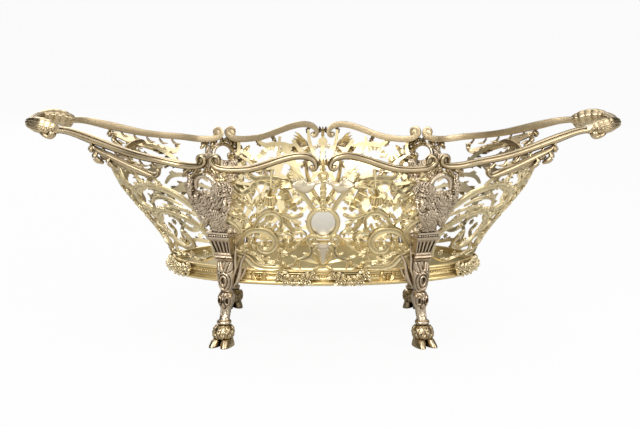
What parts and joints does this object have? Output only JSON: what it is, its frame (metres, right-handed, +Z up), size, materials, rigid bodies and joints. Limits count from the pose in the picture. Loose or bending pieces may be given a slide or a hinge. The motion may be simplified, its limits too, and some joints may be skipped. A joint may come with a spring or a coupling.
{
  "type": "silver-gilt basket",
  "caption": "Oval pierced metal basket with a flared openwork wall, scrolled rim, fixed loop handles at the ends and hoofed legs under animal masks.",
  "frame": {"origin": "on the table plane, under the middle of the oval basket", "axes": "+X along the length towards one handle, -Y towards the front long side, +Z up"},
  "size_m": [0.3886, 0.1778, 0.1457],
  "materials": {
    "worn_gilt": "polished gilding worn to a pale gold on the rails",
    "panel_gilt": "cast and chased gilt openwork, bright on the ridges",
    "band_gilt": "warm gilt moulding with a row of beads",
    "plate_gilt": "smooth gilt plate, dulled to olive",
    "dulled_silver": "silver-gilt rubbed to greyish pink silver, dark in the hollows",
    "blank_silver": "plain cream matt face"
  },
  "bodies": {
    "root": {"base_plate": "plate_gilt", "base_band": "band_gilt", "front_panel": "panel_gilt", "front_swag": "worn_gilt", "front_boss": "worn_gilt", "front_medallion_frame": "worn_gilt", "front_medallion": "blank_silver", "front_ox_skull": "dulled_silver", "back_panel": "panel_gilt", "back_swag": "worn_gilt", "back_boss": "worn_gilt", "back_medallion_frame": "worn_gilt", "back_medallion": "blank_silver", "back_ox_skull": "dulled_silver", "right_end_panel": "panel_gilt", "right_end_swag": "worn_gilt", "right_end_rim": "worn_gilt", "right_handle_bar": "worn_gilt", "left_end_panel": "panel_gilt", "left_end_swag": "worn_gilt", "left_end_rim": "worn_gilt", "left_handle_bar": "worn_gilt", "front_right_dove": "dulled_silver", "front_right_rim_scroll": "worn_gilt", "front_right_shoulder_rail": "worn_gilt", "front_right_under_scroll": "worn_gilt", "front_right_handle_cuff": "worn_gilt", "front_right_mask": "dulled_silver", "front_right_fluted_block": "dulled_silver", "front_right_leg": "dulled_silver", "front_right_hoof": "worn_gilt", "front_left_dove": "dulled_silver", "front_left_rim_scroll": "worn_gilt", "front_left_shoulder_rail": "worn_gilt", "front_left_under_scroll": "worn_gilt", "front_left_handle_cuff": "worn_gilt", "front_left_mask": "dulled_silver", "front_left_fluted_block": "dulled_silver", "front_left_leg": "dulled_silver", "front_left_hoof": "worn_gilt", "back_right_dove": "dulled_silver", "back_right_rim_scroll": "worn_gilt", "back_right_shoulder_rail": "worn_gilt", "back_right_under_scroll": "worn_gilt", "back_right_handle_cuff": "worn_gilt", "back_right_mask": "dulled_silver", "back_right_fluted_block": "dulled_silver", "back_right_leg": "dulled_silver", "back_right_hoof": "worn_gilt", "back_left_dove": "dulled_silver", "back_left_rim_scroll": "worn_gilt", "back_left_shoulder_rail": "worn_gilt", "back_left_under_scroll": "worn_gilt", "back_left_handle_cuff": "worn_gilt", "back_left_mask": "dulled_silver", "back_left_fluted_block": "dulled_silver", "back_left_leg": "dulled_silver", "back_left_hoof": "worn_gilt"}
  },
  "joints": []
}
